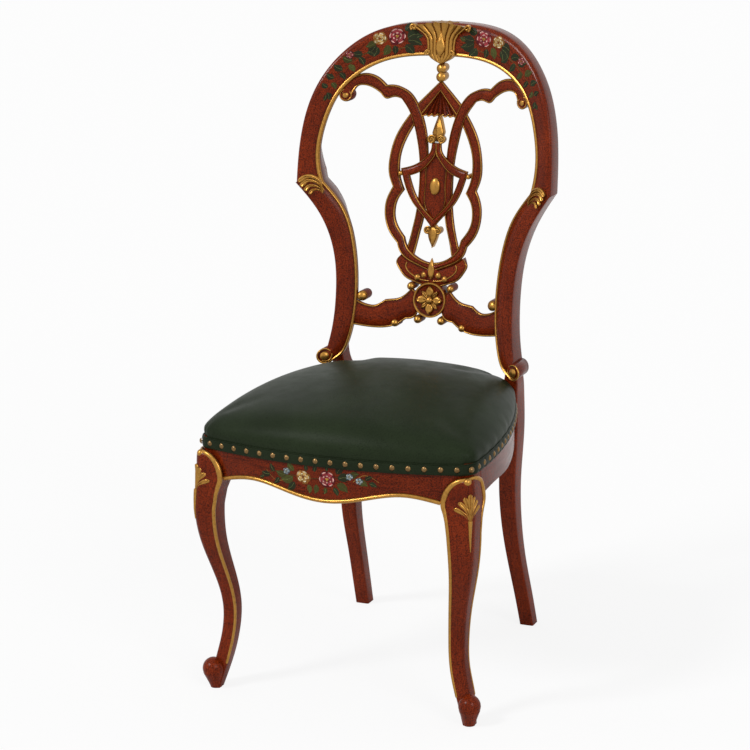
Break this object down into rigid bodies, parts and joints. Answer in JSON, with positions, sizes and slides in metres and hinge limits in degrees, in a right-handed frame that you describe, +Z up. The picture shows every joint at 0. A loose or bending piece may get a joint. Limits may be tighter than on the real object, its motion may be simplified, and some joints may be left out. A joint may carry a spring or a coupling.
{
  "type": "side chair",
  "caption": "Balloon-back side chair with cabriole front legs, pierced carved splat, gilded and flower-painted lacquer and a nailed leather seat.",
  "frame": {"origin": "on the floor, under the middle of the chair's bounding box", "axes": "+Z up, -Y is the front of the chair, +X to the right seen from the front"},
  "size_m": [0.4928, 0.5769, 1.06],
  "materials": {
    "red_lacquer": "rust red lacquer with dark antiquing, semi-gloss",
    "gilding": "antique gold leaf on carved wood",
    "bare_wood": "bare beech",
    "screw_steel": "plain",
    "webbing": "woven jute",
    "hessian": "woven jute cloth",
    "foam": "upholstery foam",
    "green_leather": "dark green, aniline sheen",
    "leather_band": "dark green band",
    "nail_brass": "antique domed nails",
    "dust_cloth": "black cambric"
  },
  "bodies": {
    "root": {"front_leg_left": "red_lacquer", "front_leg_right": "red_lacquer", "rear_post_left": "red_lacquer", "rear_post_right": "red_lacquer", "crest_left": "red_lacquer", "crest_right": "red_lacquer", "cross_rail": "red_lacquer", "splat_wings": "red_lacquer", "splat_loop": "red_lacquer", "splat_strap_left": "red_lacquer", "splat_strap_right": "red_lacquer", "splat_shield": "red_lacquer", "splat_pediment": "red_lacquer", "front_rail": "red_lacquer", "side_rail_left": "red_lacquer", "side_rail_right": "red_lacquer", "rear_rail": "red_lacquer", "knee_shell_left": "gilding", "knee_shell_right": "gilding", "stile_leaf_left": "gilding", "stile_leaf_right": "gilding", "crest_cartouche": "gilding", "cross_rail_rosette": "gilding", "splat_bud": "gilding", "shield_boss": "gilding", "shield_pins": "gilding", "splat_pendant": "gilding", "splat_finial": "gilding", "splat_beads": "gilding", "crest_dowels": "bare_wood", "cross_rail_dowels": "bare_wood", "seat_rail_dowels": "bare_wood", "corner_block_front_left": "bare_wood", "corner_block_front_right": "bare_wood", "corner_block_rear_left": "bare_wood", "corner_block_rear_right": "bare_wood", "corner_block_screws": "screw_steel", "webbing_long": "webbing", "webbing_cross": "webbing", "hessian": "hessian", "seat_foam": "foam", "leather_cover": "green_leather", "leather_band": "leather_band", "brass_nails": "nail_brass", "dust_cover": "dust_cloth"}
  },
  "joints": []
}
